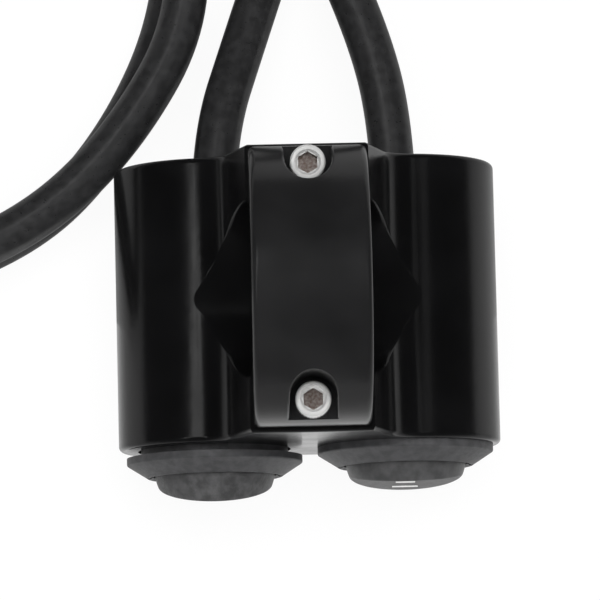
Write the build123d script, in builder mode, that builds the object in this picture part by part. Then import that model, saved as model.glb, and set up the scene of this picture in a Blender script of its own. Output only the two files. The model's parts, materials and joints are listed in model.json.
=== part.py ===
"""Handlebar switch cluster: two round rocker switches in one cast housing for a 22.2 mm handlebar.

The handlebar runs along X. The two barrels run along Y, with the switches at -Y and the cables at +Y.
The bolted strap faces +Z, and the backs of the barrels and the cable loop lie on the floor below.
"""
import os
from math import pi, radians, sin, tan

from build123d import *

os.makedirs("parts", exist_ok=True)

# Sizes of the handlebar seat and the housing, in millimetres
bar_diameter = 22.2
bar_bite = 0.2
barrel_wall = 2.5
barrel_overhang = 0.6
cable_wall = 3.0
block_margin = 0.4
block_side_spread = 3.5
web_recess = 2.9
front_blend = 5.0
back_blend = 2.0
body_edge_round = 0.7
seat_edge_round = 0.35
overrun = 1.0
near = 0.01

# Sizes of the strap and its screws
clamp_gap = 0.6
strap_wall = 6.8
strap_width = 15.0
strap_edge_round = 0.8
strap_bore_chamfer = 0.3
screw_offset = 3.9
screw_diameter = 2.5
screw_length = 11.5
screw_head_diameter = 4.6
screw_head_height = 2.5
screw_head_round = 0.3
hex_across_flats = 2.0
hex_depth = 1.3
pocket_clearance = 0.7
pocket_floor_height = 4.2
pocket_rim_round = 0.3
screw_clearance = 0.2
thread_clearance = 0.05
thread_runout = 1.5

# Sizes of the round switches, measured outwards from the seat face of each barrel
case_diameter = 19.2
case_clearance = 0.4
case_wall = 1.45
case_depth = 14.0
case_floor = 2.0
bezel_overhang = 1.9
bezel_wall = 0.9
bezel_crest_height = 2.7
bezel_lip_width = 0.55
bezel_lip_drop = 0.3
bezel_edge_round = 0.25
wing_width = 3.6
wing_clearance = 0.15
wing_length = 9.0
wing_ridge = 1.0
wing_ridge_depth = 0.3
left_seat_gap = 0.9

# Sizes of the rockers, measured from the tilt axis
pivot_height = 0.9
rocker_clearance = 0.15
rocker_valley = 3.1
rocker_face_angle = 10.0
rocker_skirt = 3.0
rocker_wall = 1.8
rocker_hollow_top = 0.8
rocker_rim_round = 0.4
rocker_throw = 10.0
pin_radius = 0.9
pin_bearing = 1.15
pin_clearance = 0.05
pin_end_clearance = 0.2
pin_slot_width = 1.5
pin_slot_depth = 0.7

# Sizes of the stem, plunger and spring inside each rocker
stem_radius = 2.2
stem_reach = 6.4
plunger_radius = 0.9
plunger_length = 5.0
plunger_gap = 0.4
plunger_clearance = 0.1
spring_wire = 0.25
spring_turns = 6
spring_sides = 4
spring_clearance = 0.05

# Sizes of the tilting contact and the terminals, measured from the seat face
contact_axis_depth = 8.4
contact_half_length = 6.0
contact_width = 3.0
contact_thickness = 0.5
button_radius = 0.8
button_height = 0.3
fulcrum_radius = 0.2
contact_clearance = 0.07
contact_ratio = 0.8
terminal_width = 4.8
terminal_thickness = 0.8
terminal_clearance = 0.1
pad_thickness = 0.6
pad_width = 2.2
pad_offset = 0.4
shoulder_depth = 10.5

# Sizes of the terminal sleeves and the single wires
sleeve_width = 6.2
sleeve_thickness = 2.6
sleeve_gap = 0.9
sleeve_length = 7.6
sleeve_end_wall = 2.0
sleeve_round = 0.6
core_diameter = 1.3
core_spread = 1.6
core_straight = 1.5

# Sizes of the cables, grommets and ties
cable_diameter = 5.9
cable_inset = 0.6
radius_share = 0.45
tail_core_length = 9.0
tail_wire_length = 3.5
tail_wire_diameter = 0.8
tail_spread = 1.3
tie_thickness = 0.8
tie_width = 2.5
tie_head_width = 3.8
tie_head_length = 4.2
tie_head_height = 2.6
tie_clearance = 0.05

# The routes of the two cables: points of their centre lines
left_route = [
    (-11.9, 12, -23.4),
    (-11.9, 22.5, -23.4),
    (-7.0, 37.5, -28),
    (-0.8, 56, -32.95),
    (-2.5, 76, -32.95),
    (-15, 94, -32.95),
    (-35, 106.5, -32.05),
    (-60, 110, -32.05),
    (-85, 104, -32.95),
    (-102, 88, -32.95),
    (-110.2, 66, -32.95),
    (-109.4, 43, -32.95),
    (-99.5, 22, -32.05),
    (-80, 8.5, -32.05),
    (-58, 4.6, -32.95),
    (-37.3, 11, -32.95),
    (-25, 23.4, -32.95),
    (-16.5, 41, -32.95),
    (-16, 60, -32.95),
    (-24, 78, -32.95),
    (-39, 90, -32.95),
    (-58, 94, -32.95),
    (-75, 90, -32.95),
    (-88, 81.5, -32.95),
]
right_route = [
    (11.9, 12, -23.4),
    (11.9, 22.5, -23.4),
    (9.4, 36, -24.2),
    (1.0, 56.5, -26.8),
    (-2.3, 76, -26.8),
    (-15, 94, -26.8),
    (-35, 106.5, -25.9),
    (-60, 110, -25.9),
    (-85, 104, -26.8),
    (-102, 88, -26.8),
    (-110.2, 66, -26.8),
    (-109.4, 43, -26.8),
    (-99.5, 22, -25.9),
    (-80, 8.5, -25.9),
    (-58, 4.3, -26.8),
    (-37.8, 10.8, -26.8),
    (-24.3, 22.5, -26.8),
    (-13.8, 40.3, -26.8),
    (-16.4, 60, -26.8),
    (-25.2, 76.2, -26.9),
    (-41, 83, -30.2),
    (-56.5, 86.6, -32.95),
    (-70, 83.4, -32.95),
    (-82.5, 76.5, -32.95),
]
# The runs that the two ties hold, by the number of their first point, and the middle of the loop
tied_runs = (6, 12)
loop_middle = (-62, 55, -30)
gap_samples = 700
grommet_clearance = 0.05
grommet_wall = 1.3
grommet_flange_width = 1.0
grommet_flange_thickness = 0.8
stop_wall = 1.4
stop_length = 2.2
stop_gap = 0.3

# Worked out for the barrels, the clamp block and the strap
bar_radius = bar_diameter / 2
case_radius = case_diameter / 2
switch_bore_radius = case_radius + case_clearance
barrel_radius = switch_bore_radius + barrel_wall
half_pitch = barrel_radius
strap_radius = bar_radius + strap_wall
half_length = strap_radius + barrel_overhang
axis_drop = bar_radius + barrel_radius - bar_bite
web_back_depth = axis_drop + barrel_radius - web_recess
block_half_width = strap_width / 2 + block_margin
crown_x = block_half_width + block_side_spread
crown_z = -axis_drop + (barrel_radius**2 - (half_pitch - crown_x) ** 2) ** 0.5
screw_places = (-bar_radius - screw_offset, bar_radius + screw_offset)
pocket_radius = screw_head_diameter / 2 + pocket_clearance
thread_depth = screw_length - pocket_floor_height - clamp_gap / 2 + thread_runout

# Worked out for the switches
opening_radius = case_radius - case_wall
bezel_radius = case_radius + bezel_overhang
bezel_crest_radius = opening_radius + bezel_lip_width
wing_reach = switch_bore_radius - wing_clearance
rocker_radius = opening_radius - rocker_clearance
pin_reach = opening_radius + pin_bearing
pin_slot_reach = opening_radius + pin_slot_depth
plunger_reach = pivot_height + contact_axis_depth - contact_thickness - plunger_gap
spring_length = rocker_hollow_top + plunger_reach - plunger_length - spring_clearance * 2
terminal_offset = contact_half_length - button_radius + pad_offset
contact_drop = contact_half_length * sin(radians(rocker_throw * contact_ratio))
pad_depth = contact_axis_depth + contact_drop + button_height + contact_clearance
sleeve_top_depth = case_depth + sleeve_gap
sleeve_end_depth = sleeve_top_depth + sleeve_length
terminal_depth = sleeve_end_depth - sleeve_end_wall
terminal_slot = (terminal_width + terminal_clearance * 2, terminal_thickness + terminal_clearance * 2)

# Worked out for the cables, the grommets and the ties
cable_radius = cable_diameter / 2
core_radius = core_diameter / 2
cable_x = half_pitch - cable_inset
cable_start = left_route[0][1]
stack_pitch = right_route[tied_runs[0]][2] - left_route[tied_runs[0]][2]
grommet_radius = cable_radius + grommet_clearance + grommet_wall
grommet_flange_radius = grommet_radius + grommet_flange_width
switch_bore_end = half_length - cable_wall


# Places along an edge where it is tested, as shares of its length
edge_shares = (0.2, 0.5, 0.8)


def save(piece, name):
    piece.part.label = name
    export_step(piece.part, f"parts/{name}.step")


def seat_plane(side, seat_gap):
    """The seat face of one switch: X along the handlebar, Y up and Z out of the barrel."""
    origin = (side * half_pitch, -half_length - seat_gap, -axis_drop)
    return Plane(origin=origin, x_dir=(1, 0, 0), z_dir=(0, -1, 0))


def radial_plane(base):
    """The plane through the axis of a base plane, for turned profiles."""
    return Plane(origin=base.origin, x_dir=base.x_dir, z_dir=-base.y_dir)


def side_plane(base):
    """The plane across the tilt axis of a base plane, with its own X up and Y outwards."""
    return Plane(origin=base.origin, x_dir=base.y_dir, z_dir=base.x_dir)


def tilt_plane(seat, height, angle):
    """A plane on the seat's axis at a height, tilted about the handlebar direction."""
    return seat.offset(height).rotated((angle, 0, 0))


def on_seat(edge):
    """Whether an edge lies on the bore of the handlebar all along."""
    points = [edge @ share for share in edge_shares]
    return all(abs((point.Y**2 + point.Z**2) ** 0.5 - bar_radius) < near for point in points)


# Housing: two barrels joined by the clamp block, with the handlebar seat across them
def make_housing():
    with BuildPart() as housing:
        with BuildSketch(Plane.XZ):
            with Locations((-half_pitch, -axis_drop), (half_pitch, -axis_drop)):
                Circle(barrel_radius)
            Polygon(
                (-block_half_width, -clamp_gap / 2),
                (-crown_x, crown_z),
                (-crown_x, -axis_drop),
                (crown_x, -axis_drop),
                (crown_x, crown_z),
                (block_half_width, -clamp_gap / 2),
                align=None,
            )
            with Locations((0, -web_back_depth)):
                Rectangle(half_pitch * 2, web_back_depth - axis_drop, align=(Align.CENTER, Align.MIN))
        extrude(amount=half_length, both=True)
        long_edges = housing.edges().filter_by(Axis.Y)
        fillet([e for e in long_edges if abs(abs(e.center().X) - crown_x) < near], front_blend)
        long_edges = housing.edges().filter_by(Axis.Y)
        fillet([e for e in long_edges if abs(e.center().Z + web_back_depth) < near], back_blend)
        fillet(housing.faces().filter_by(Axis.Y).edges(), body_edge_round)
        # The seat of the handlebar, with its edge eased
        with BuildSketch(Plane.YZ):
            Circle(bar_radius)
        extrude(amount=half_pitch * 2, both=True, mode=Mode.SUBTRACT)
        fillet([e for e in housing.edges() if on_seat(e)], seat_edge_round)
        # The two switch bores, open at the front, and the cable holes through the back wall
        with BuildSketch(Plane.XZ.offset(half_length)):
            with Locations((-half_pitch, -axis_drop), (half_pitch, -axis_drop)):
                Circle(switch_bore_radius)
        extrude(amount=-(half_length + switch_bore_end), mode=Mode.SUBTRACT)
        with BuildSketch(Plane.XZ.offset(-half_length)):
            with Locations((-cable_x, -axis_drop), (cable_x, -axis_drop)):
                Circle(grommet_radius + grommet_clearance)
        extrude(amount=cable_wall, mode=Mode.SUBTRACT)
        # The threaded holes of the strap screws
        with BuildSketch(Plane.XY.offset(-clamp_gap / 2)):
            with Locations(*[(0, place) for place in screw_places]):
                Circle(screw_diameter / 2 + thread_clearance)
        extrude(amount=-thread_depth, mode=Mode.SUBTRACT)
    return housing


# Clamp strap: the bolted half ring that closes round the handlebar
def make_clamp_strap():
    with BuildPart() as strap:
        with BuildSketch(Plane.YZ):
            Circle(strap_radius)
            Circle(bar_radius, mode=Mode.SUBTRACT)
            with Locations((0, clamp_gap / 2)):
                below = (Align.CENTER, Align.MAX)
                Rectangle(strap_radius * 2, strap_radius * 2, align=below, mode=Mode.SUBTRACT)
        extrude(amount=strap_width / 2, both=True)
        crown_faces = [f for f in strap.faces() if f.geom_type == GeomType.CYLINDER]
        crown = max(crown_faces, key=lambda f: f.area)
        fillet(crown.edges().filter_by(GeomType.CIRCLE), strap_edge_round)
        bore_edges = strap.edges().filter_by(GeomType.CIRCLE)
        chamfer([e for e in bore_edges if abs(e.radius - bar_radius) < near], strap_bore_chamfer)
        # The screw pockets, straight-sided to the ends of the strap, and the screw holes
        with BuildSketch(Plane.XY.offset(pocket_floor_height)):
            for place in screw_places:
                with Locations((0, place)):
                    Circle(pocket_radius)
                    outwards = (Align.CENTER, Align.MIN if place > 0 else Align.MAX)
                    Rectangle(pocket_radius * 2, strap_radius, align=outwards)
        extrude(amount=strap_radius, mode=Mode.SUBTRACT)
        fillet([e for e in strap.edges() if on_pocket_rim(e)], pocket_rim_round)
        with BuildSketch(Plane.XY):
            with Locations(*[(0, place) for place in screw_places]):
                Circle(screw_diameter / 2 + screw_clearance)
        extrude(amount=pocket_floor_height + overrun, mode=Mode.SUBTRACT)
    return strap


def on_pocket_rim(edge):
    """Whether an edge runs along the crown of the strap round a screw pocket."""
    points = [edge @ share for share in edge_shares]
    on_crown = all(abs((point.Y**2 + point.Z**2) ** 0.5 - strap_radius) < near for point in points)
    by_pocket = all(abs(point.X) < pocket_radius + near for point in points)
    return on_crown and by_pocket and (edge @ 0.5).Z > pocket_floor_height + near


# Strap screws: two socket head screws, seated on the floors of the pockets
def make_strap_screws():
    places = [(0, place) for place in screw_places]
    with BuildPart() as screws:
        with BuildSketch(Plane.XY.offset(pocket_floor_height)):
            with Locations(*places):
                Circle(screw_head_diameter / 2)
        extrude(amount=screw_head_height)
        fillet(screws.faces().filter_by(Axis.Z).group_by(Axis.Z)[-1].edges(), screw_head_round)
        with BuildSketch(Plane.XY.offset(pocket_floor_height)):
            with Locations(*places):
                Circle(screw_diameter / 2)
        extrude(amount=-screw_length)
        with BuildSketch(Plane.XY.offset(pocket_floor_height + screw_head_height)):
            with Locations(*places):
                RegularPolygon(hex_across_flats / 2, 6, major_radius=False)
        extrude(amount=-hex_depth, mode=Mode.SUBTRACT)
    return screws


# Switch case: the bezel and the round snap-in body, open at the front
def make_switch_case(seat, terminal_places):
    with BuildPart() as case:
        with BuildSketch(radial_plane(seat)):
            Polygon(
                (0, -case_depth),
                (case_radius, -case_depth),
                (case_radius, 0),
                (bezel_radius, 0),
                (bezel_radius, bezel_wall),
                (bezel_crest_radius, bezel_crest_height),
                (opening_radius, bezel_crest_height - bezel_lip_drop),
                (opening_radius, case_floor - case_depth),
                (0, case_floor - case_depth),
                align=None,
            )
        revolve(axis=Axis(seat.origin, seat.z_dir))
        bezel_edges = [
            e for e in case.edges().filter_by(GeomType.CIRCLE)
            if abs(e.radius - bezel_radius) < near or abs(e.radius - bezel_crest_radius) < near
        ]
        fillet([e for e in bezel_edges if seat.to_local_coords(e.arc_center).Z > near], bezel_edge_round)
        # The ridged snap wings on the two sides that grip the bore
        for side in (-1, 1):
            with BuildSketch(side_plane(seat)):
                Polygon(*wing_outline(side), align=None)
            extrude(amount=wing_width / 2, both=True)
        # The holes and the entry slots of the rocker pins
        with BuildSketch(side_plane(seat.offset(pivot_height))):
            Circle(pin_radius + pin_clearance)
        extrude(amount=pin_reach + pin_end_clearance, both=True, mode=Mode.SUBTRACT)
        with BuildSketch(seat.offset(pivot_height)):
            Rectangle(pin_slot_reach * 2, pin_slot_width)
        extrude(amount=bezel_crest_height, mode=Mode.SUBTRACT)
        # The slots of the terminals through the floor
        with BuildSketch(seat.offset(-case_depth)):
            with Locations(*[(0, place) for place in terminal_places]):
                Rectangle(*terminal_slot)
        extrude(amount=case_floor, mode=Mode.SUBTRACT)
    return case


def wing_outline(side):
    """The saw-toothed outline of one snap wing: distance from the axis, then depth."""
    teeth = int(wing_length / wing_ridge)
    points = [(side * opening_radius, 0)]
    for tooth in range(teeth):
        points.append((side * wing_reach, -tooth * wing_ridge))
        points.append((side * (wing_reach - wing_ridge_depth), -(tooth + 1) * wing_ridge))
    points.append((side * opening_radius, -teeth * wing_ridge))
    return points


# Rocker: a ball-sided button with a shallow V top, tilting on two pins
def make_rocker(seat, angle):
    tilt = tilt_plane(seat, pivot_height, angle)
    reach = rocker_radius + overrun
    rise = reach * tan(radians(rocker_face_angle))
    with BuildPart() as rocker:
        with BuildSketch(side_plane(tilt)):
            Polygon(
                (-reach, -rocker_skirt),
                (reach, -rocker_skirt),
                (reach, rocker_valley + rise),
                (0, rocker_valley),
                (-reach, rocker_valley + rise),
                align=None,
            )
        extrude(amount=reach, both=True)
        with BuildPart(Plane(tilt.origin, x_dir=-tilt.z_dir, z_dir=tilt.x_dir), mode=Mode.PRIVATE) as ball:
            Sphere(rocker_radius)
        add(ball.part, mode=Mode.INTERSECT)
        rim = [e for e in rocker.edges() if tilt.to_local_coords(e @ 0.5).Z > rocker_valley - near]
        rim = [e for e in rim if abs(tilt.to_local_coords(e @ 0.5).Y) > near]
        fillet(rim, rocker_rim_round)
        with BuildSketch(side_plane(tilt)):
            Circle(pin_radius)
        extrude(amount=pin_reach, both=True)
        with BuildSketch(tilt.offset(-rocker_skirt)):
            Circle(rocker_radius - rocker_wall)
        extrude(amount=rocker_skirt + rocker_hollow_top, mode=Mode.SUBTRACT)
        with BuildSketch(tilt.offset(-stem_reach)):
            Circle(stem_radius)
        extrude(amount=stem_reach + rocker_hollow_top)
        with BuildSketch(tilt.offset(-stem_reach)):
            Circle(plunger_radius + plunger_clearance)
        extrude(amount=stem_reach + rocker_hollow_top, mode=Mode.SUBTRACT)
    return rocker


# Plunger: the round-nosed pin in the stem that slides on the contact
def make_plunger(seat, angle):
    tilt = tilt_plane(seat, pivot_height, angle)
    with BuildPart() as plunger:
        with BuildSketch(tilt.offset(-plunger_reach)):
            Circle(plunger_radius)
        extrude(amount=plunger_length)
        nose = plunger.faces().sort_by(Axis(tilt.origin, tilt.z_dir))[0]
        fillet(nose.edges(), plunger_radius - spring_clearance)
    return plunger


# Plunger spring: the coil between the plunger and the top of its hole
def make_plunger_spring(seat, angle):
    base = tilt_plane(seat, pivot_height, angle).offset(plunger_length - plunger_reach + spring_clearance)
    radius = plunger_radius - spring_wire / 2 - spring_clearance
    with BuildPart() as spring:
        with BuildLine():
            coil = Helix(
                (spring_length - spring_wire) / spring_turns,
                spring_length - spring_wire,
                radius,
                center=base.origin + base.z_dir * spring_wire / 2,
                direction=base.z_dir,
            )
        with BuildSketch(Plane(coil @ 0, z_dir=coil % 0)):
            RegularPolygon(spring_wire / 2, spring_sides)
        sweep(path=coil)
    return spring


# Contact: the rocking strip, grooved over the fulcrum, with a button under each end
def make_contact(seat, angle):
    tilt = tilt_plane(seat, -contact_axis_depth, angle)
    with BuildPart() as contact:
        with BuildSketch(side_plane(tilt)):
            with Locations((0, contact_thickness / 2)):
                Rectangle(contact_half_length * 2, contact_thickness)
            Circle(fulcrum_radius + contact_clearance, mode=Mode.SUBTRACT)
        extrude(amount=contact_width / 2, both=True)
        upright = [e for e in contact.edges() if abs(e.length - contact_thickness) < near]
        reach = contact_half_length - near
        fillet([e for e in upright if abs(tilt.to_local_coords(e @ 0.5).Y) > reach], contact_width / 3)
        with BuildSketch(tilt):
            with Locations(*[(0, side * (contact_half_length - button_radius)) for side in (-1, 1)]):
                Circle(button_radius)
        extrude(amount=-button_height)
    return contact


# Terminals: the round-tipped tab under the contact's middle, and one with a pad under each end
def make_terminals(seat, terminal_places):
    with BuildPart() as terminals:
        for place in terminal_places:
            top = -shoulder_depth if place == 0 else -pad_depth
            with BuildSketch(side_plane(seat)):
                with Locations((place, top)):
                    Rectangle(terminal_thickness, terminal_depth + top, align=(Align.CENTER, Align.MAX))
            extrude(amount=terminal_width / 2, both=True)
            if place == 0:
                with BuildSketch(side_plane(seat)):
                    Polygon(
                        (-terminal_thickness / 2, -shoulder_depth),
                        (terminal_thickness / 2, -shoulder_depth),
                        (fulcrum_radius, -contact_axis_depth),
                        (-fulcrum_radius, -contact_axis_depth),
                        align=None,
                    )
                    with Locations((0, -contact_axis_depth)):
                        Circle(fulcrum_radius)
                extrude(amount=contact_width / 2, both=True)
            else:
                pad_middle = (contact_half_length - button_radius) * (1 if place > 0 else -1)
                with BuildSketch(seat.offset(-pad_depth)):
                    with Locations((0, pad_middle)):
                        Rectangle(terminal_width - terminal_thickness, pad_width)
                extrude(amount=-pad_thickness)
    return terminals


# Terminal sleeves: the soft covers over the crimped receptacles
def make_terminal_sleeves(seat, terminal_places):
    with BuildPart() as sleeves:
        with BuildSketch(seat.offset(-sleeve_end_depth)):
            with Locations(*[(0, place) for place in terminal_places]):
                RectangleRounded(sleeve_width, sleeve_thickness, sleeve_round)
        extrude(amount=sleeve_end_depth - sleeve_top_depth)
        with BuildSketch(seat.offset(-sleeve_top_depth)):
            with Locations(*[(0, place) for place in terminal_places]):
                Rectangle(*terminal_slot)
        extrude(amount=sleeve_top_depth - terminal_depth - terminal_clearance, mode=Mode.SUBTRACT)
    return sleeves


def corner_radii(points):
    """The largest easy arc at each corner of a route."""
    radii = []
    for before, corner, after in zip(points, points[1:], points[2:]):
        run_in = Vector(*corner) - Vector(*before)
        run_out = Vector(*after) - Vector(*corner)
        turn = run_in.get_angle(run_out)
        radii.append(radius_share * min(run_in.length, run_out.length) / tan(radians(turn / 2)))
    return radii


# Core wires: the single wires from the sleeves to the end of the cable
def make_core_wires(seat, side, terminal_places):
    depth_end = cable_start - seat.origin.Y
    with BuildPart() as cores:
        for place in terminal_places:
            inset = -side * cable_inset
            spread = core_spread * place / terminal_offset
            points = [
                (0, place, -sleeve_end_depth),
                (0, place, -sleeve_end_depth - core_straight),
                (inset, spread, core_straight - depth_end),
                (inset, spread, -depth_end),
            ]
            route = [tuple(seat.from_local_coords(Vector(*point))) for point in points]
            with BuildLine():
                path = FilletPolyline(*route, radius=corner_radii(route))
            with BuildSketch(Plane(path @ 0, z_dir=path % 0)):
                Circle(core_radius)
            sweep(path=path)
    return cores


# Grommet: the rubber sleeve in the back wall, with a thin outer flange
def make_grommet(side):
    wall = Plane(origin=(side * cable_x, switch_bore_end, -axis_drop), x_dir=(1, 0, 0), z_dir=(0, 1, 0))
    with BuildPart() as grommet:
        with BuildSketch(wall):
            Circle(grommet_radius)
            Circle(cable_radius + grommet_clearance, mode=Mode.SUBTRACT)
        extrude(amount=cable_wall)
        with BuildSketch(wall.offset(cable_wall)):
            Circle(grommet_flange_radius)
            Circle(cable_radius + grommet_clearance, mode=Mode.SUBTRACT)
        extrude(amount=grommet_flange_thickness)
        fillet(outer_edges(grommet, wall), grommet_flange_thickness / 3)
    return grommet


def outer_edges(piece, base):
    """The rounded outer rim of a flange that faces along a base plane."""
    face = piece.faces().sort_by(Axis(base.origin, base.z_dir))[-1]
    return [e for e in face.edges() if e.radius > grommet_radius]


# Cable stop: the tie round the cable behind the back wall, which takes a pull on the cable
def make_cable_stop(side):
    back = switch_bore_end - stop_gap - stop_length
    base = Plane(origin=(side * cable_x, back, -axis_drop), x_dir=(1, 0, 0), z_dir=(0, 1, 0))
    with BuildPart() as stop:
        with BuildSketch(base):
            Circle(cable_radius + grommet_clearance + stop_wall)
            Circle(cable_radius + grommet_clearance, mode=Mode.SUBTRACT)
        extrude(amount=stop_length)
        chamfer(stop.faces().sort_by(Axis.Y)[0].edges(), stop_wall / 4)
    return stop


# Cable: a round jacket along its route
def make_cable(name, route):
    radii = corner_radii(route)
    with BuildPart() as cable:
        with BuildLine():
            path = FilletPolyline(*route, radius=radii)
        with BuildSketch(Plane(path @ 0, z_dir=path % 0)):
            Circle(cable_radius)
        sweep(path=path)
    swept = pi * cable_radius**2 * path.length
    print(name, "length", round(path.length, 1), "radii", [round(radius, 1) for radius in radii])
    print(name, "volume over section times length", round(cable.part.volume / swept, 4))
    return cable, path


# Cable tails: the stripped single wires at the far end of a cable
def make_cable_tails(path, count):
    end = Plane(path @ 1, x_dir=(0, 0, 1), z_dir=path % 1)
    with BuildPart() as tails:
        with BuildSketch(end):
            with PolarLocations(tail_spread, count):
                Circle(core_radius)
        extrude(amount=tail_core_length - tail_wire_length)
        with BuildSketch(end.offset(tail_core_length - tail_wire_length)):
            with PolarLocations(tail_spread, count):
                Circle(tail_wire_diameter / 2)
        extrude(amount=tail_wire_length)
    return tails


# Loop ties: the two nylon ties round the pair of cables
def make_loop_ties():
    with BuildPart() as ties:
        for run in tied_runs:
            first, last = Vector(*left_route[run]), Vector(*left_route[run + 1])
            middle = (first + last) / 2 + Vector(0, 0, stack_pitch / 2)
            along = (last - first).normalized()
            base = Plane(origin=middle, x_dir=(0, 0, 1), z_dir=along)
            inner = cable_diameter + tie_clearance * 2
            with BuildSketch(base):
                SlotCenterToCenter(stack_pitch, inner + tie_thickness * 2)
                SlotCenterToCenter(stack_pitch, inner, mode=Mode.SUBTRACT)
            extrude(amount=tie_width / 2, both=True)
            head_side = 1 if base.y_dir.dot(Vector(*loop_middle) - middle) > 0 else -1
            with BuildSketch(base.offset(-tie_head_length / 2)):
                with Locations((0, head_side * (inner / 2 + tie_thickness / 2))):
                    Rectangle(
                        tie_head_width,
                        tie_head_height,
                        align=(Align.CENTER, Align.MIN if head_side > 0 else Align.MAX),
                    )
            extrude(amount=tie_head_length)
    return ties


def least_gap(first_path, second_path, samples):
    """The least gap between the jackets of two cables, measured on points."""
    places = [share / samples for share in range(samples + 1)]
    first_points = [first_path @ place for place in places]
    second_points = [second_path @ place for place in places]
    return min((a - b).length for a in first_points for b in second_points) - cable_diameter


save(make_housing(), "housing")
save(make_clamp_strap(), "clamp_strap")
save(make_strap_screws(), "strap_screws")

switches = {
    "left": (-1, left_seat_gap, rocker_throw, (0, terminal_offset)),
    "right": (1, 0, 0, (-terminal_offset, 0, terminal_offset)),
}
routes = {"left": left_route, "right": right_route}
paths = {}
for name, (side, seat_gap, angle, places) in switches.items():
    seat = seat_plane(side, seat_gap)
    save(make_switch_case(seat, places), f"{name}_switch_case")
    save(make_rocker(seat, angle), f"{name}_rocker")
    save(make_plunger(seat, angle), f"{name}_plunger")
    save(make_plunger_spring(seat, angle), f"{name}_plunger_spring")
    save(make_contact(seat, -angle * contact_ratio), f"{name}_contact_blade")
    save(make_terminals(seat, places), f"{name}_terminals")
    save(make_terminal_sleeves(seat, places), f"{name}_terminal_sleeves")
    save(make_core_wires(seat, side, places), f"{name}_core_wires")
    save(make_grommet(side), f"{name}_grommet")
    save(make_cable_stop(side), f"{name}_cable_stop")
    cable, paths[name] = make_cable(name, routes[name])
    save(cable, f"{name}_cable")
    save(make_cable_tails(paths[name], len(places)), f"{name}_cable_tails")

save(make_loop_ties(), "loop_ties")
print("least gap between the cables", round(least_gap(paths["left"], paths["right"], gap_samples), 2))
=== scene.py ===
"""Handlebar switch cluster: the finish of its housing, strap, screws and switches, and its two cables.

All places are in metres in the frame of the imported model: X along the handlebar, Y along the barrels
towards the cables, and Z towards the strap. The backs of the barrels rest on the floor.
"""
import json
from math import cos, pi, radians, sin, tan

import bpy
from bpy.props import FloatProperty, FloatVectorProperty, IntProperty, PointerProperty
from mathutils import Matrix, Vector


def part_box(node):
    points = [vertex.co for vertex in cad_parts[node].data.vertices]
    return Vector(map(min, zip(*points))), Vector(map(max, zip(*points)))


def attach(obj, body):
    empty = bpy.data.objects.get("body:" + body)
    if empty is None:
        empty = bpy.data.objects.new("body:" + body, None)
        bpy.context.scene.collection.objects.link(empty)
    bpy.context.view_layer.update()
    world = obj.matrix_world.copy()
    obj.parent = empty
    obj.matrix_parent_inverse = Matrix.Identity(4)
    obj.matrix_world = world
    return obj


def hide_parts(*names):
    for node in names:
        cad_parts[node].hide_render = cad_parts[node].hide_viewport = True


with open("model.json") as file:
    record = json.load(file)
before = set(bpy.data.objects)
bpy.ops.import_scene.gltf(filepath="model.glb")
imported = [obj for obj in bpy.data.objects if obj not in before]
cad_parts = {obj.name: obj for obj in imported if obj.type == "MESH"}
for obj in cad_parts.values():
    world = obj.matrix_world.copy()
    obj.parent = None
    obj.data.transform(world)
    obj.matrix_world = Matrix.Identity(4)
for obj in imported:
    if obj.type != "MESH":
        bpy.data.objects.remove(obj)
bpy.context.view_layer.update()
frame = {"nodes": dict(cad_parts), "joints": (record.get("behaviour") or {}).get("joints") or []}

bl_info = {
    "name": "Handlebar switch cluster",
    "version": (1, 0, 0),
    "blender": (4, 5, 0),
    "location": "View3D > Sidebar > Switch cluster",
    "description": "Finishes a twin barrel handlebar switch cluster and sets it on a pale floor",
    "category": "Object",
}

mm = 0.001
housing_low, housing_high = (Vector(corner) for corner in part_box("housing"))
floor_height = housing_low.z
barrel_radius = 12.5 * mm
barrel_axis_z = housing_low.z + barrel_radius

# The insulation of the wires: red, black and blue
core_colours = [(0.36, 0.012, 0.010), (0.009, 0.009, 0.010), (0.012, 0.045, 0.26)]

# The routes of the two cables, the same points as the model's
left_route = [
    (-0.0119, 0.012, -0.0234),
    (-0.0119, 0.0225, -0.0234),
    (-0.0070, 0.0375, -0.028),
    (-0.0008, 0.056, -0.03295),
    (-0.0025, 0.076, -0.03295),
    (-0.015, 0.094, -0.03295),
    (-0.035, 0.1065, -0.03205),
    (-0.060, 0.110, -0.03205),
    (-0.085, 0.104, -0.03295),
    (-0.102, 0.088, -0.03295),
    (-0.1102, 0.066, -0.03295),
    (-0.1094, 0.043, -0.03295),
    (-0.0995, 0.022, -0.03205),
    (-0.080, 0.0085, -0.03205),
    (-0.058, 0.0046, -0.03295),
    (-0.0373, 0.011, -0.03295),
    (-0.025, 0.0234, -0.03295),
    (-0.0165, 0.041, -0.03295),
    (-0.016, 0.060, -0.03295),
    (-0.024, 0.078, -0.03295),
    (-0.039, 0.090, -0.03295),
    (-0.058, 0.094, -0.03295),
    (-0.075, 0.090, -0.03295),
    (-0.088, 0.0815, -0.03295),
]
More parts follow.
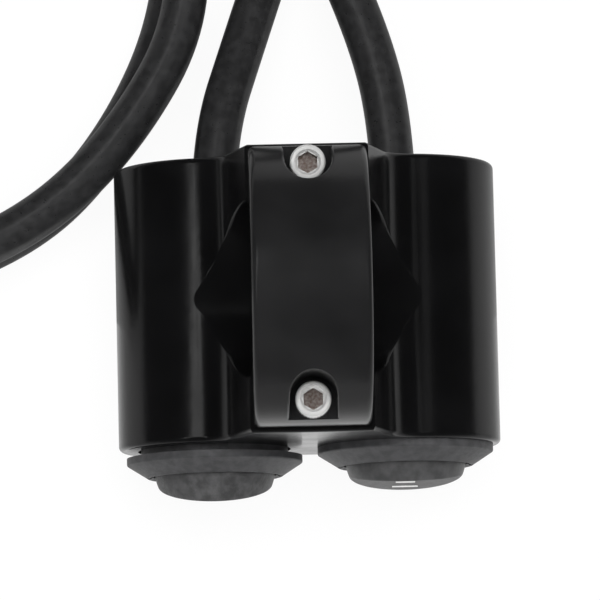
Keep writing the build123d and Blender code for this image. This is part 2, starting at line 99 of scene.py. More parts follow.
right_route = [
    (0.0119, 0.012, -0.0234),
    (0.0119, 0.0225, -0.0234),
    (0.0094, 0.036, -0.0242),
    (0.0010, 0.0565, -0.0268),
    (-0.0023, 0.076, -0.0268),
    (-0.015, 0.094, -0.0268),
    (-0.035, 0.1065, -0.0259),
    (-0.060, 0.110, -0.0259),
    (-0.085, 0.104, -0.0268),
    (-0.102, 0.088, -0.0268),
    (-0.1102, 0.066, -0.0268),
    (-0.1094, 0.043, -0.0268),
    (-0.0995, 0.022, -0.0259),
    (-0.080, 0.0085, -0.0259),
    (-0.058, 0.0043, -0.0268),
    (-0.0378, 0.0108, -0.0268),
    (-0.0243, 0.0225, -0.0268),
    (-0.0138, 0.0403, -0.0268),
    (-0.0164, 0.060, -0.0268),
    (-0.0252, 0.0762, -0.0269),
    (-0.041, 0.083, -0.0302),
    (-0.0565, 0.0866, -0.03295),
    (-0.070, 0.0834, -0.03295),
    (-0.0825, 0.0765, -0.03295),
]


# Settings
class StageSettings(bpy.types.PropertyGroup):
    camera_place: FloatVectorProperty(
        name="Camera place",
        description="Where the camera stands, in front of and above the cluster",
        default=(-0.01322, -0.08037, 0.64988),
        subtype="TRANSLATION",
        unit="LENGTH",
    )
    camera_turn: FloatVectorProperty(
        name="Camera turn",
        description="How the camera is turned from looking straight down",
        default=(radians(6.924), radians(-0.889), radians(-1.363)),
        subtype="EULER",
        unit="ROTATION",
    )
    camera_lens: FloatProperty(
        name="Lens",
        description="Focal length of the camera, in millimetres",
        default=309.5,
        unit="CAMERA",
    )
    floor_size: FloatProperty(
        name="Floor size",
        description="Width of the square floor",
        default=6.0,
        unit="LENGTH",
    )
    floor_tone: FloatProperty(
        name="Floor tone",
        description="How pale the floor is",
        default=0.88,
        subtype="FACTOR",
    )
    key_power: FloatProperty(
        name="Key lamp",
        description="Power of the soft lamp above the cluster",
        default=12.5,
        unit="POWER",
    )
    fill_power: FloatProperty(
        name="Fill lamp",
        description="Power of the soft lamp in front of the cluster",
        default=6.0,
        unit="POWER",
    )


class EnamelSettings(bpy.types.PropertyGroup):
    housing_colour: FloatVectorProperty(
        name="Housing colour",
        description="Colour of the gloss enamel on the housing",
        default=(0.0030, 0.0030, 0.0032),
        subtype="COLOR",
    )
    housing_roughness: FloatProperty(
        name="Housing roughness",
        description="How much the gloss enamel blurs what it mirrors",
        default=0.19,
        subtype="FACTOR",
    )
    strap_colour: FloatVectorProperty(
        name="Strap colour",
        description="Colour of the satin enamel on the strap",
        default=(0.0098, 0.0098, 0.0101),
        subtype="COLOR",
    )
    strap_roughness: FloatProperty(
        name="Strap roughness",
        description="How much the satin enamel blurs what it mirrors",
        default=0.2,
        subtype="FACTOR",
    )
    peel_size: FloatProperty(
        name="Orange peel",
        description="Size of the ripples in the sprayed enamel",
        default=1.1 * mm,
        unit="LENGTH",
    )


class ScrewSettings(bpy.types.PropertyGroup):
    head_radius: FloatProperty(
        name="Head radius",
        description="Radius of the socket head",
        default=2.3 * mm,
        unit="LENGTH",
    )
    head_height: FloatProperty(
        name="Head height",
        description="Height of the socket head",
        default=2.5 * mm,
        unit="LENGTH",
    )
    mouth_radius: FloatProperty(
        name="Socket mouth",
        description="Radius of the countersink round the hexagon",
        default=1.67 * mm,
        unit="LENGTH",
    )
    hex_radius: FloatProperty(
        name="Hexagon radius",
        description="Radius over the corners of the hexagon",
        default=1.4 * mm,
        unit="LENGTH",
    )
    hex_depth: FloatProperty(
        name="Hexagon depth",
        description="Depth of the hexagon below the top of the head",
        default=1.3 * mm,
        unit="LENGTH",
    )
    knurl_count: IntProperty(
        name="Knurls",
        description="Number of ridges round the head",
        default=36,
    )


class SwitchSettings(bpy.types.PropertyGroup):
    bezel_colour: FloatVectorProperty(
        name="Bezel colour",
        description="Colour of the moulded switch cases",
        default=(0.043, 0.043, 0.045),
        subtype="COLOR",
    )
    rocker_colour: FloatVectorProperty(
        name="Rocker colour",
        description="Colour of the moulded rockers",
        default=(0.050, 0.050, 0.051),
        subtype="COLOR",
    )
    mark_length: FloatProperty(
        name="Bar length",
        description="Length of each white bar on the right rocker",
        default=3.4 * mm,
        unit="LENGTH",
    )
    mark_width: FloatProperty(
        name="Bar width",
        description="Width of each white bar on the right rocker",
        default=0.6 * mm,
        unit="LENGTH",
    )
    mark_spacing: FloatProperty(
        name="Bar spacing",
        description="Distance between the two white bars",
        default=2.2 * mm,
        unit="LENGTH",
    )


class CableSettings(bpy.types.PropertyGroup):
    diameter: FloatProperty(
        name="Cable diameter",
        description="Outer diameter of each cable",
        default=5.9 * mm,
        unit="LENGTH",
    )
    jacket_colour: FloatVectorProperty(
        name="Jacket colour",
        description="Colour of the vinyl jackets",
        default=(0.018, 0.018, 0.0185),
        subtype="COLOR",
    )
    core_radius: FloatProperty(
        name="Core radius",
        description="Radius of each insulated wire",
        default=0.65 * mm,
        unit="LENGTH",
    )
    core_length: FloatProperty(
        name="Core length",
        description="Length of insulated wire that shows beyond the jacket",
        default=5.5 * mm,
        unit="LENGTH",
    )
    bare_length: FloatProperty(
        name="Bare length",
        description="Length of stripped wire beyond the insulation",
        default=5.0 * mm,
        unit="LENGTH",
    )


# Small helpers for modelling
def deselect():
    bpy.ops.object.select_all(action="DESELECT")


def pick(piece):
    """Selects one piece alone and makes it active."""
    deselect()
    piece.select_set(True)
    bpy.context.view_layer.objects.active = piece


def named(name):
    """The object that was just added, under its own name."""
    piece = bpy.context.object
    piece.name = name
    piece.data.name = name
    return piece


def apply_place(piece):
    """Moves the place and turn of a piece into its mesh."""
    pick(piece)
    bpy.ops.object.transform_apply(location=True, rotation=True, scale=True)


def apply_modifier(piece, kind, **settings):
    """Adds a modifier with its settings and applies it."""
    pick(piece)
    modifier = piece.modifiers.new(kind.title(), kind)
    for name, value in settings.items():
        setattr(modifier, name, value)
    bpy.ops.object.modifier_apply(modifier=modifier.name)


def select_faces(piece, wanted):
    """Selects in edit mode the faces that a test picks by their centre and normal."""
    pick(piece)
    bpy.ops.object.mode_set(mode="EDIT")
    bpy.ops.mesh.select_mode(type="FACE")
    bpy.ops.mesh.select_all(action="DESELECT")
    bpy.ops.object.mode_set(mode="OBJECT")
    for face in piece.data.polygons:
        face.select = wanted(face.center, face.normal)
    bpy.ops.object.mode_set(mode="EDIT")


def boolean(piece, tool, operation):
    """Cuts a tool out of a piece, or joins it on, and removes the tool."""
    apply_modifier(piece, "BOOLEAN", object=tool, operation=operation, solver="EXACT")
    bpy.data.objects.remove(tool, do_unlink=True)


def finish_piece(piece, material, body):
    """Smooths a new piece, gives it its material and sets the body that it rides on."""
    pick(piece)
    bpy.ops.object.shade_smooth_by_angle(angle=radians(32))
    piece.data.materials.clear()
    piece.data.materials.append(material)
    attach(piece, body)


def paint_nodes(material, *nodes):
    """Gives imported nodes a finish."""
    for node in nodes:
        piece = bpy.data.objects[node]
        if not piece.material_slots:
            piece.data.materials.append(material)
        for slot in piece.material_slots:
            slot.material = material


# Small helpers for materials
def new_material(name):
    """A new material with its nodes and its main shader."""
    material = bpy.data.materials.new(name)
    material.use_nodes = True
    tree = material.node_tree
    return material, tree, tree.nodes["Principled BSDF"]


def object_place(tree):
    return tree.nodes.new("ShaderNodeTexCoord").outputs["Object"]


def noise(tree, place, size, detail=2.0, stretch=None):
    """Smooth noise with features of about one size."""
    layer = tree.nodes.new("ShaderNodeTexNoise")
    layer.inputs["Scale"].default_value = 1 / size
    layer.inputs["Detail"].default_value = detail
    if stretch:
        mapping = tree.nodes.new("ShaderNodeMapping")
        mapping.inputs["Scale"].default_value = stretch
        tree.links.new(place, mapping.inputs["Vector"])
        place = mapping.outputs["Vector"]
    tree.links.new(place, layer.inputs["Vector"])
    return layer.outputs[0]


def ramp(tree, value, stops, interpolation="LINEAR"):
    """A colour ramp from a list of places and colours."""
    node = tree.nodes.new("ShaderNodeValToRGB")
    node.color_ramp.interpolation = interpolation
    while len(node.color_ramp.elements) < len(stops):
        node.color_ramp.elements.new(1.0)
    for element, (position, colour) in zip(node.color_ramp.elements, stops):
        element.position = position
        element.color = (*colour, 1.0)
    tree.links.new(value, node.inputs["Fac"])
    return node.outputs["Color"]


def spread(tree, value, low, high, start=0.3, end=0.7):
    """A value between start and end, spread from low to high and held beyond them."""
    node = tree.nodes.new("ShaderNodeMapRange")
    for name, level in (("From Min", start), ("From Max", end), ("To Min", low), ("To Max", high)):
        node.inputs[name].default_value = level
    tree.links.new(value, node.inputs["Value"])
    return node.outputs["Result"]


def bump(tree, height, depth, below=None):
    """A bump of a real depth, laid over another where one is given."""
    node = tree.nodes.new("ShaderNodeBump")
    node.inputs["Strength"].default_value = 1.0
    node.inputs["Distance"].default_value = depth
    tree.links.new(height, node.inputs["Height"])
    if below:
        tree.links.new(below, node.inputs["Normal"])
    return node.outputs["Normal"]


def combine(tree, operation, first, second=0.0):
    """The result of one sum on numbers or sockets."""
    node = tree.nodes.new("ShaderNodeMath")
    node.operation = operation
    for socket, value in zip(node.inputs, (first, second)):
        if isinstance(value, bpy.types.NodeSocket):
            tree.links.new(value, socket)
        else:
            socket.default_value = value
    return node.outputs["Value"]


def mix_shaders(tree, share, first, second):
    """A mix of two shaders, with none of the second where the share is 0."""
    node = tree.nodes.new("ShaderNodeMixShader")
    for socket, output in zip(node.inputs, (share, first.outputs[0], second.outputs[0])):
        tree.links.new(output, socket)
    return node


def split_place(tree, place):
    """The X, Y and Z of a place."""
    split = tree.nodes.new("ShaderNodeSeparateXYZ")
    tree.links.new(place, split.inputs["Vector"])
    return split.outputs


def shaded(colour, share):
    """A colour made darker or paler."""
    return tuple(min(1.0, level * share) for level in colour)


def mottled(tree, shader, place, colour, size, shares=(0.8, 1.25)):
    """Gives a shader a colour that drifts a little from place to place."""
    drift = noise(tree, place, size)
    stops = [(0.35, shaded(colour, shares[0])), (0.65, shaded(colour, shares[1]))]
    tree.links.new(ramp(tree, drift, stops), shader.inputs["Base Color"])


# Materials
def enamel(name, colour, roughness, peel_size, peel_depth):
    """Sprayed enamel with orange peel, smears and a fine dust in its skin."""
    material, tree, shader = new_material(name)
    place = object_place(tree)
    cloud_size = 9 * mm
    smear_size = 5 * mm
    dust_share = 0.2
    mottled(tree, shader, place, colour, cloud_size)
    shader.inputs["IOR"].default_value = 1.5
    smear = noise(tree, place, smear_size, detail=4.0)
    tree.links.new(spread(tree, smear, roughness * 0.85, roughness * 1.2), shader.inputs["Roughness"])
    peel = bump(tree, noise(tree, place, peel_size, detail=1.0), peel_depth)
    dust = noise(tree, place, peel_size * dust_share, detail=1.0)
    tree.links.new(bump(tree, dust, peel_depth * 0.08, below=peel), shader.inputs["Normal"])
    return material


def moulded(name, colour, roughness, grain_size, grain_depth, shares=(0.8, 1.25), ior=1.48):
    """Moulded plastic or rubber with the spark-eroded grain of its mould."""
    material, tree, shader = new_material(name)
    place = object_place(tree)
    cloud_size = 1.2 * mm
    mottled(tree, shader, place, colour, cloud_size, shares)
    shader.inputs["IOR"].default_value = ior
    grain = noise(tree, place, grain_size, detail=3.0)
    tree.links.new(spread(tree, grain, roughness * 0.9, roughness * 1.1), shader.inputs["Roughness"])
    tree.links.new(bump(tree, grain, grain_depth), shader.inputs["Normal"])
    return material


def metal(name, colour, roughness, scratch_size, scratch_depth, stretch=(1, 1, 1)):
    """Bare metal with fine tool marks."""
    material, tree, shader = new_material(name)
    place = object_place(tree)
    cloud_size = 0.8 * mm
    mottled(tree, shader, place, colour, cloud_size, (0.9, 1.06))
    shader.inputs["Metallic"].default_value = 1.0
    marks = noise(tree, place, scratch_size, detail=3.0, stretch=stretch)
    tree.links.new(spread(tree, marks, roughness * 0.8, roughness * 1.25), shader.inputs["Roughness"])
    tree.links.new(bump(tree, marks, scratch_depth), shader.inputs["Normal"])
    return material


def screw_steel(screw_reach, socket_radius, head_top):
    """Bright steel screws, with dried brown thread locker in their sockets and turned rings on top."""
    material, tree, shader = new_material("screw_steel")
    steel = (0.88, 0.88, 0.87)
    locker = (0.14, 0.095, 0.075)
    bright_depth = 0.34 * mm
    ring_pitch = 0.16 * mm
    ring_depth = 0.002 * mm
    place = object_place(tree)
    shader.inputs["Metallic"].default_value = 0.6
    parts = split_place(tree, place)
    across = combine(tree, "SUBTRACT", combine(tree, "ABSOLUTE", parts["Y"]), screw_reach)
    squares = [combine(tree, "MULTIPLY", part, part) for part in (parts["X"], across)]
    radius = combine(tree, "SQRT", combine(tree, "ADD", *squares))
    in_bore = combine(tree, "LESS_THAN", radius, socket_radius)
    below_top = combine(tree, "LESS_THAN", parts["Z"], head_top - bright_depth)
    in_socket = combine(tree, "MULTIPLY", in_bore, below_top)
    dirt = combine(tree, "MULTIPLY", in_socket, spread(tree, noise(tree, place, 0.35 * mm), 0.75, 1.0))
    tree.links.new(ramp(tree, dirt, [(0.0, steel), (1.0, locker)]), shader.inputs["Base Color"])
    tree.links.new(spread(tree, dirt, 0.26, 0.42, 0.0, 1.0), shader.inputs["Roughness"])
    rings = combine(tree, "SINE", combine(tree, "MULTIPLY", radius, 2 * pi / ring_pitch))
    tree.links.new(bump(tree, rings, ring_depth), shader.inputs["Normal"])
    return material


def striped_cores():
    """The wires inside each switch, coloured by their place up the barrel."""
    material, tree, shader = new_material("core_vinyl")
    place = object_place(tree)
    step = 0.8 * mm
    lowest = barrel_axis_z - 2 * step
    highest = barrel_axis_z + 2 * step
    height = spread(tree, split_place(tree, place)["Z"], 0.0, 1.0, lowest, highest)
    stops = [(0.0, core_colours[1]), (0.25, core_colours[0]), (0.75, core_colours[2])]
    tree.links.new(ramp(tree, height, stops, "CONSTANT"), shader.inputs["Base Color"])
    grain = noise(tree, place, 0.3 * mm)
    tree.links.new(spread(tree, grain, 0.36, 0.46), shader.inputs["Roughness"])
    tree.links.new(bump(tree, grain, 0.004 * mm), shader.inputs["Normal"])
    return material


def floor_material(tone):
    """A pale floor: white to the camera, and to mirrors a glow of painted reflection, paler in front of
    the cluster than beside it.
    """
    material, tree, shader = new_material("pale_floor")
    shader.inputs["Base Color"].default_value = (tone, tone, tone, 1.0)
    shader.inputs["Roughness"].default_value = 0.9
    shader.inputs["Specular IOR Level"].default_value = 0.0
    light_path = tree.nodes.new("ShaderNodeLightPath")
    white = tree.nodes.new("ShaderNodeEmission")
    camera_share = 0.93
    mirror_share = 0.8
    seen = combine(tree, "MULTIPLY", light_path.outputs["Is Camera Ray"], camera_share)
    to_camera = mix_shaders(tree, seen, shader, white)
    parts = split_place(tree, object_place(tree))
    sideways = combine(tree, "ABSOLUTE", parts["X"])
    beside = spread(tree, sideways, 0.42, 0.17, 0.03, 0.3)
    # Each fade of the painted reflection glow beside the cluster: its axis, its two shares, and where it
    # starts and ends
    for axis, low, high, start, end in (
        ("X", 0.6, 1.0, -0.02, 0.02),
        ("Y", 1.0, 0.4, 0.015, 0.05),
        ("Y", 0.25, 1.0, -0.10, -0.04),
    ):
        beside = combine(tree, "MULTIPLY", beside, spread(tree, parts[axis], low, high, start, end))
    # The painted reflection glow is strongest on the floor just in front of the cluster
    in_front = spread(tree, parts["Y"], 0.08, 1.0, -0.075, -0.025)
    in_front = combine(tree, "MULTIPLY", in_front, combine(tree, "LESS_THAN", parts["Y"], 0.0))
    in_front = combine(tree, "MULTIPLY", in_front, spread(tree, sideways, 1.0, 0.3, 0.02, 0.045))
    # Emission that only mirrors see, as a painted reflection on the housing
    glow = tree.nodes.new("ShaderNodeEmission")
    tree.links.new(combine(tree, "MAXIMUM", beside, in_front), glow.inputs["Strength"])
    rays = [light_path.outputs[f"Is {ray} Ray"] for ray in ("Glossy", "Transmission")]
    mirrored = combine(tree, "MULTIPLY", combine(tree, "MAXIMUM", *rays), mirror_share)
    to_mirrors = mix_shaders(tree, mirrored, to_camera, glow)
    tree.links.new(to_mirrors.outputs[0], tree.nodes["Material Output"].inputs["Surface"])
    return material


# Operators
class CLUSTER_OT_stage(bpy.types.Operator):
    """Sets the camera, the lamps, the backdrop light and the pale floor"""
    bl_idname = "cluster.stage"
    bl_label = "Camera and stage"

    def execute(self, context):
        settings = context.scene.cluster_stage
        context.scene.view_settings.view_transform = "Standard"
        camera_data = bpy.data.cameras.new("camera")
        camera_data.lens = settings.camera_lens
        camera_data.sensor_width = 36
        camera = bpy.data.objects.new("camera", camera_data)
        camera.location = settings.camera_place
        camera.rotation_euler = settings.camera_turn
        context.scene.collection.objects.link(camera)
        context.scene.camera = camera
        deselect()
        bpy.ops.mesh.primitive_plane_add(size=settings.floor_size, location=(0, 0, floor_height))
        floor = named("floor")
        apply_place(floor)
        floor.data.materials.append(floor_material(settings.floor_tone))
        self.light_world(context)
        add_lamp("key_lamp", place=(0.1, 0.2, 1.0), size=(0.9, 0.7), power=settings.key_power)
        add_lamp("fill_lamp", place=(-0.2, -0.9, 0.55), size=(0.9, 0.5), power=settings.fill_power)
        strip = {"mirrored": True, "slant": radians(-28)}
        add_lamp("left_strip", place=(-0.40, 0.1, 0.95), size=(0.9, 0.08), power=0.55, **strip)
        add_lamp("right_strip", place=(0.48, 0.1, 0.877), size=(0.9, 0.12), power=0.09, **strip)
        return {"FINISHED"}

    def light_world(self, context):
        """White to the camera, dark above and paler low in front to mirrors, and soft to the rest."""
        world = bpy.data.worlds.new("studio")
        world.use_nodes = True
        context.scene.world = world
        tree = world.node_tree
        light_path = tree.nodes.new("ShaderNodeLightPath")
        # Each tone of the sky: its height, and how pale it is there
        sky_tones = ((0.0, 0.3), (0.15, 0.14), (0.45, 0.08), (1.0, 0.04))
        sky_share = 0.7
        soft_tone = 0.3
        parts = split_place(tree, tree.nodes.new("ShaderNodeTexCoord").outputs["Generated"])
        stops = [(height, (tone, tone, tone)) for height, tone in sky_tones]
        front_share = spread(tree, parts["Y"], 1.0, 0.25, -0.6, 0.1)
        sky = tree.nodes.new("ShaderNodeBackground")
        tree.links.new(ramp(tree, parts["Z"], stops), sky.inputs["Color"])
        tree.links.new(combine(tree, "MULTIPLY", front_share, sky_share), sky.inputs["Strength"])
        soft = tree.nodes.new("ShaderNodeBackground")
        soft.inputs["Color"].default_value = (soft_tone, soft_tone, soft_tone, 1.0)
        white = tree.nodes.new("ShaderNodeBackground")
        white.inputs["Color"].default_value = (1.0, 1.0, 1.0, 1.0)
        to_mirrors = mix_shaders(tree, light_path.outputs["Is Glossy Ray"], soft, sky)
        rays = [light_path.outputs[f"Is {ray} Ray"] for ray in ("Camera", "Transmission")]
        clear = combine(tree, "MAXIMUM", *rays)
        to_camera = mix_shaders(tree, clear, to_mirrors, white)
        tree.links.new(to_camera.outputs[0], tree.nodes["World Output"].inputs["Surface"])


def add_lamp(name, place, size, power, mirrored=False, slant=0.0):
    """A rectangular soft lamp aimed at the cluster; a mirrored one shows in glossy surfaces."""
    lamp_data = bpy.data.lights.new(name, "AREA")
    lamp_data.shape = "RECTANGLE"
    lamp_data.size = size[0]
    lamp_data.size_y = size[1]
    lamp_data.energy = power
    lamp = bpy.data.objects.new(name, lamp_data)
    lamp.location = place
    aim = (-Vector(place)).to_track_quat("-Z", "Y").to_matrix()
    lamp.rotation_euler = (aim @ Matrix.Rotation(slant, 3, "Z")).to_euler()
    lamp.visible_glossy = mirrored
    lamp.visible_camera = False
    bpy.context.scene.collection.objects.link(lamp)


class CLUSTER_OT_cables(bpy.types.Operator):
    """Lays the two cables along their routes"""
    bl_idname = "cluster.cables"
    bl_label = "Cables"

    def execute(self, context):
        settings = context.scene.cluster_cables
        vinyl = {"roughness": 0.3, "grain_size": 0.5 * mm, "grain_depth": 0.006 * mm, "ior": 1.5}
        jacket = moulded("cable_vinyl", settings.jacket_colour, **vinyl)
        tails = make_tails(settings)
        tails["left"].append(frame["nodes"]["loop_ties"])
        for side, route, length in (("left", left_route, 0.464), ("right", right_route, 0.455)):
            curve = bpy.data.curves.new(f"{side}_cable_jacket", "CURVE")
            curve.dimensions = "3D"
            curve.bevel_depth = settings.diameter / 2
            curve.bevel_resolution = 10
            curve.resolution_u = 14
            curve.use_fill_caps = True
            spline = curve.splines.new("NURBS")
            spline.points.add(len(route) - 1)
            for point, place in zip(spline.points, route):
                point.co = (*place, 1.0)
            spline.order_u = 3
            spline.use_endpoint_u = True
            cable = bpy.data.objects.new(f"{side}_cable_jacket", curve)
            context.scene.collection.objects.link(cable)
            curve.materials.append(jacket)
            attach(cable, "housing")
            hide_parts(f"{side}_cable")
        return {"FINISHED"}


def make_tails(settings):
    """The stripped wires at the far end of each cable: insulation and twisted strands."""
    fine_wire = {"roughness": 0.3, "scratch_size": 0.1 * mm, "scratch_depth": 0.001 * mm}
    copper = metal("bare_copper", (0.78, 0.42, 0.27), **fine_wire)
    grain = {"roughness": 0.4, "grain_size": 0.3 * mm, "grain_depth": 0.004 * mm}
    vinyls = [moulded(f"core_vinyl_{number + 1}", core_colours[number], **grain) for number in range(3)]
    ring_radius = 1.3 * mm
    tails = {"left": [], "right": []}
    for side, route, count in (("left", left_route, 2), ("right", right_route, 3)):
        end = Vector(route[-1])
        along = (end - Vector(route[-2])).normalized()
        tail_turn = turn_along(along)
        for number in range(count):
            turn = 2 * pi * number / count
            offset = tail_turn @ Vector((ring_radius * cos(turn), ring_radius * sin(turn), 0))
            placing = Matrix.Translation(end + offset) @ tail_turn.to_4x4()
            sleeve = make_core(f"{side}_tail_core_{number + 1}", settings, placing)
            strands = make_strands(f"{side}_tail_strands_{number + 1}", settings, placing)
            finish_piece(sleeve, vinyls[number], "housing")
            finish_piece(strands, copper, "housing")
            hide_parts(f"{side}_cable_tails")
            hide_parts(f"{side}_cable_tails")
            tails[side] += [sleeve, strands]
    return tails


def turn_along(along):
    """A turn that carries Z to a direction and keeps X upwards."""
    across = along.cross(Vector((0, 0, 1))).normalized()
    up = across.cross(along)
    return Matrix((up, across, along)).transposed()


def make_core(name, settings, placing):
    """One insulated wire, with its cut end turned in a little."""
    rounding = 0.12 * mm
    deselect()
    bpy.ops.mesh.primitive_cylinder_add(
        vertices=32,
        radius=settings.core_radius,
        depth=settings.core_length,
        location=(0, 0, settings.core_length / 2),
    )
    core = named(name)
    apply_place(core)
    near_end = settings.core_length - 0.01 * mm
    select_faces(core, lambda centre, normal: centre.z > near_end)
    bpy.ops.mesh.bevel(offset=rounding, segments=3, affect="EDGES")
    bpy.ops.object.mode_set(mode="OBJECT")
    core.data.transform(placing)
    return core


def make_strands(name, settings, placing):
    """Seven twisted strands, swept from seven rings by one screw."""
    strand = 0.13 * mm
    strand_sides = 10
    hidden = 0.2 * mm
    twist = radians(250)
    steps_along = 18
    deselect()
    bpy.ops.mesh.primitive_circle_add(vertices=strand_sides, radius=strand)
    strands = named(name)
    rings = [strands]
    for number in range(6):
        turn = pi * number / 3
        deselect()
        place = (2 * strand * cos(turn), 2 * strand * sin(turn), 0)
        bpy.ops.mesh.primitive_circle_add(vertices=strand_sides, radius=strand * 0.98, location=place)
        rings.append(bpy.context.object)
    deselect()
    for ring in rings:
        ring.select_set(True)
    bpy.context.view_layer.objects.active = strands
    bpy.ops.object.join()
    apply_place(strands)
    start = settings.core_length - hidden
    length = settings.bare_length + hidden
    apply_modifier(
        strands,
        "SCREW",
        angle=twist,
        screw_offset=length,
        steps=steps_along,
        render_steps=steps_along,
        axis="Z",
        use_normal_calculate=True,
    )
    select_faces(strands, lambda centre, normal: True)
    bpy.ops.mesh.fill_holes(sides=0)
    bpy.ops.mesh.select_all(action="SELECT")
    bpy.ops.mesh.normals_make_consistent(inside=False)
    bpy.ops.object.mode_set(mode="OBJECT")
    strands.data.transform(placing @ Matrix.Translation((0, 0, start)))
    return strands


class CLUSTER_OT_screws(bpy.types.Operator):
    """Models the two socket head screws of the strap"""
    bl_idname = "cluster.screws"
    bl_label = "Strap screws"

    def execute(self, context):
        settings = context.scene.cluster_screws
        low, high = (Vector(corner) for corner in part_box("strap_screws"))
        reach = high.y - settings.head_radius
        steel = screw_steel(reach, settings.mouth_radius, high.z)
        for name, place in (("front_screw", -reach), ("back_screw", reach)):
            screw = make_screw(name, settings, place, low.z, high.z)
            finish_piece(screw, steel, "housing")
            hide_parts("strap_screws")
        return {"FINISHED"}


def add_round(name, sides, radius, low, high, place, end_radius=None):
    """An upright round bar, or a cone where the end's radius is given, at a place along Y."""
    deselect()
    bpy.ops.mesh.primitive_cone_add(
        vertices=sides,
        radius1=radius,
        radius2=radius if end_radius is None else end_radius,
        depth=high - low,
        location=(0, place, (low + high) / 2),
    )
    bar = named(name)
    apply_place(bar)
    return bar


def make_screw(name, settings, place, low, high):
    """A knurled head with a rounded rim, a countersunk hexagon and a drilled bottom, on its shank."""
    cap_height = 0.55 * mm
    groove_share = 0.965
    rim_rounding = 0.28 * mm
    shank_radius = 1.25 * mm
    mouth_depth = 0.32 * mm
    drill_depth = 0.4 * mm
    head_base = high - settings.head_height
    cap_base = high - cap_height
    screw = add_round(name, settings.knurl_count * 2, settings.head_radius, head_base, cap_base, place)
    middle = Vector((0, place, 0))
    step = pi / settings.knurl_count
    for vertex in screw.data.vertices:
        arm = vertex.co - middle
        turn = Vector((arm.x, arm.y)).angle_signed(Vector((1, 0)), 0)
        if round(turn / step) % 2:
            vertex.co = middle + Vector((arm.x * groove_share, arm.y * groove_share, arm.z))
    cap = add_round("cap", 64, settings.head_radius * 0.99, cap_base - 0.05 * mm, high, place)
    select_faces(cap, lambda centre, normal: normal.z > 0.9)
    bpy.ops.mesh.bevel(offset=rim_rounding, segments=4, affect="EDGES")
    bpy.ops.object.mode_set(mode="OBJECT")
    boolean(screw, cap, "UNION")
    shank = add_round("shank", 32, shank_radius, low, head_base + 0.1 * mm, place)
    boolean(screw, shank, "UNION")
    mouth = add_round(
        "mouth",
        48,
        settings.mouth_radius - mouth_depth,
        high - mouth_depth,
        high + mouth_depth,
        place,
        end_radius=settings.mouth_radius + mouth_depth,
    )
    boolean(screw, mouth, "DIFFERENCE")
    hexagon_base = high - settings.hex_depth
    hexagon = add_round("hexagon", 6, settings.hex_radius, hexagon_base, high + mouth_depth, place)
    boolean(screw, hexagon, "DIFFERENCE")
    drill_tip = 0.05 * mm
    drill_radius = settings.hex_radius * cos(pi / 6) * 0.9
    drill_top = hexagon_base + 0.02 * mm
    drill = add_round("drill", 32, drill_tip, drill_top - drill_depth, drill_top, place, drill_radius)
    boolean(screw, drill, "DIFFERENCE")
    return screw


class CLUSTER_OT_rocker_bars(bpy.types.Operator):
    """Lays the two white bars into the lower face of the right rocker"""
    bl_idname = "cluster.rocker_bars"
    bl_label = "Rocker bars"

    def execute(self, context):
        settings = context.scene.cluster_switches
        grain = {"roughness": 0.5, "grain_size": 0.2 * mm, "grain_depth": 0.003 * mm}
        paint = moulded("mark_paint", (0.8, 0.8, 0.79), shares=(0.94, 1.04), **grain)
        pivots = {joint["name"]: Vector(joint["pos_m"]) for joint in frame["joints"]}
        pivot = pivots["right_rocker_tilt"]
        # The rocker's two faces meet in a valley in front of its pivot, and the bars lie on the lower one
        face_angle = radians(10)
        valley = 3.1 * mm
        middle = 3.55 * mm
        bar_height = 0.12 * mm
        bar_rounding = 0.035 * mm
        upper_bar = (-0.5, 0.75)
        lower_bar = (0.5, 1.0)
        for number, (step, share) in enumerate((upper_bar, lower_bar)):
            down = middle + step * settings.mark_spacing
            place = pivot + Vector((0, -valley - down * tan(face_angle), -down))
            deselect()
            bpy.ops.mesh.primitive_cube_add(size=1, location=place)
            bar = named(f"rocker_bar_{number + 1}")
            bar.scale = (settings.mark_length * share, bar_height, settings.mark_width)
            bar.rotation_euler = (-face_angle, 0, 0)
            apply_place(bar)
            select_faces(bar, lambda centre, normal: True)
            bpy.ops.mesh.bevel(offset=bar_rounding, segments=2, affect="EDGES")
            bpy.ops.object.mode_set(mode="OBJECT")
            finish_piece(bar, paint, "right_rocker")
        return {"FINISHED"}


class CLUSTER_OT_enamel(bpy.types.Operator):
    """Sprays the housing and the strap"""
    bl_idname = "cluster.enamel"
    bl_label = "Housing and strap enamel"

    def execute(self, context):
        settings = context.scene.cluster_enamel
        gloss = enamel(
            "housing_enamel",
            settings.housing_colour,
            settings.housing_roughness,
            peel_size=settings.peel_size,
            peel_depth=0.010 * mm,
        )
        satin = enamel(
            "strap_enamel",
            settings.strap_colour,
            settings.strap_roughness,
            peel_size=settings.peel_size * 0.5,
            peel_depth=0.004 * mm,
        )
        paint_nodes(gloss, "housing")
        paint_nodes(satin, "clamp_strap")
        return {"FINISHED"}


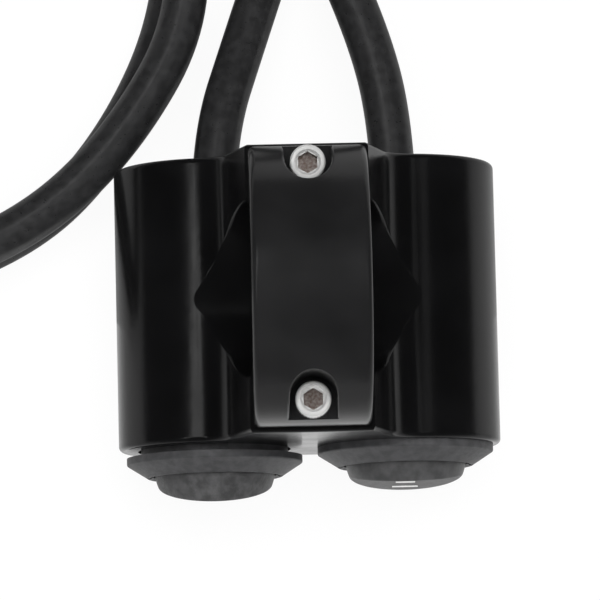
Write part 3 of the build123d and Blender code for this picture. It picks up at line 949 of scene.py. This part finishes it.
class CLUSTER_OT_switch_finish(bpy.types.Operator):
    """Gives the switch cases, rockers and inner parts their finishes"""
    bl_idname = "cluster.switch_finish"
    bl_label = "Switch finishes"

    def execute(self, context):
        settings = context.scene.cluster_switches
        bezel_colour = settings.bezel_colour
        rocker_colour = settings.rocker_colour
        # Each finish: name, colour, roughness, size and depth of its grain, and how far its colour drifts
        case = moulded("switch_plastic", bezel_colour, 0.52, 0.28 * mm, 0.016 * mm)
        coarse = moulded("rocker_plastic_coarse", rocker_colour, 0.48, 0.34 * mm, 0.05 * mm, (0.75, 1.35))
        fine = moulded("rocker_plastic", rocker_colour, 0.42, 0.22 * mm, 0.012 * mm)
        rubber = moulded("grommet_rubber", (0.016, 0.016, 0.016), 0.7, 0.2 * mm, 0.012 * mm)
        nylon = moulded("tie_nylon", (0.012, 0.012, 0.012), 0.42, 0.5 * mm, 0.006 * mm)
        sleeve = moulded("sleeve_vinyl", (0.34, 0.03, 0.025), 0.4, 0.6 * mm, 0.01 * mm)
        # Each metal: name, colour, roughness, size and depth of its scratches, and how they are stretched
        brass = metal("terminal_brass", (0.80, 0.62, 0.30), 0.28, 0.2 * mm, 0.002 * mm, (1, 6, 1))
        copper = metal("contact_copper", (0.80, 0.45, 0.28), 0.3, 0.2 * mm, 0.002 * mm, (1, 1, 6))
        spring = metal("spring_steel", (0.60, 0.60, 0.58), 0.25, 0.2 * mm, 0.001 * mm)
        paint_nodes(coarse, "left_rocker")
        paint_nodes(fine, "right_rocker")
        paint_nodes(nylon, "loop_ties")
        for side in ("left", "right"):
            paint_nodes(case, f"{side}_switch_case", f"{side}_plunger")
            paint_nodes(spring, f"{side}_plunger_spring")
            paint_nodes(copper, f"{side}_contact_blade")
            paint_nodes(brass, f"{side}_terminals")
            paint_nodes(sleeve, f"{side}_terminal_sleeves")
            paint_nodes(rubber, f"{side}_grommet")
            paint_nodes(nylon, f"{side}_cable_stop")
        paint_nodes(striped_cores(), "left_core_wires", "right_core_wires")
        return {"FINISHED"}


class CLUSTER_PT_panel(bpy.types.Panel):
    """Lists the steps that finish the cluster"""
    bl_idname = "CLUSTER_PT_panel"
    bl_label = "Switch cluster"
    bl_space_type = "VIEW_3D"
    bl_region_type = "UI"
    bl_category = "Switch cluster"

    def draw(self, context):
        for step in steps:
            self.layout.operator(step.bl_idname)


steps = (
    CLUSTER_OT_stage,
    CLUSTER_OT_cables,
    CLUSTER_OT_enamel,
    CLUSTER_OT_screws,
    CLUSTER_OT_switch_finish,
    CLUSTER_OT_rocker_bars,
)
settings_groups = {
    "cluster_stage": StageSettings,
    "cluster_enamel": EnamelSettings,
    "cluster_screws": ScrewSettings,
    "cluster_switches": SwitchSettings,
    "cluster_cables": CableSettings,
}


def register():
    for name, group in settings_groups.items():
        bpy.utils.register_class(group)
        setattr(bpy.types.Scene, name, PointerProperty(type=group))
    for step in steps:
        bpy.utils.register_class(step)
    bpy.utils.register_class(CLUSTER_PT_panel)


def unregister():
    bpy.utils.unregister_class(CLUSTER_PT_panel)
    for step in reversed(steps):
        bpy.utils.unregister_class(step)
    for name, group in reversed(settings_groups.items()):
        delattr(bpy.types.Scene, name)
        bpy.utils.unregister_class(group)


def main():
    register()
    bpy.ops.cluster.stage()
    bpy.ops.cluster.cables()
    bpy.ops.cluster.enamel()
    bpy.ops.cluster.screws()
    bpy.ops.cluster.switch_finish()
    bpy.ops.cluster.rocker_bars()


if __name__ == "__main__":
    main()
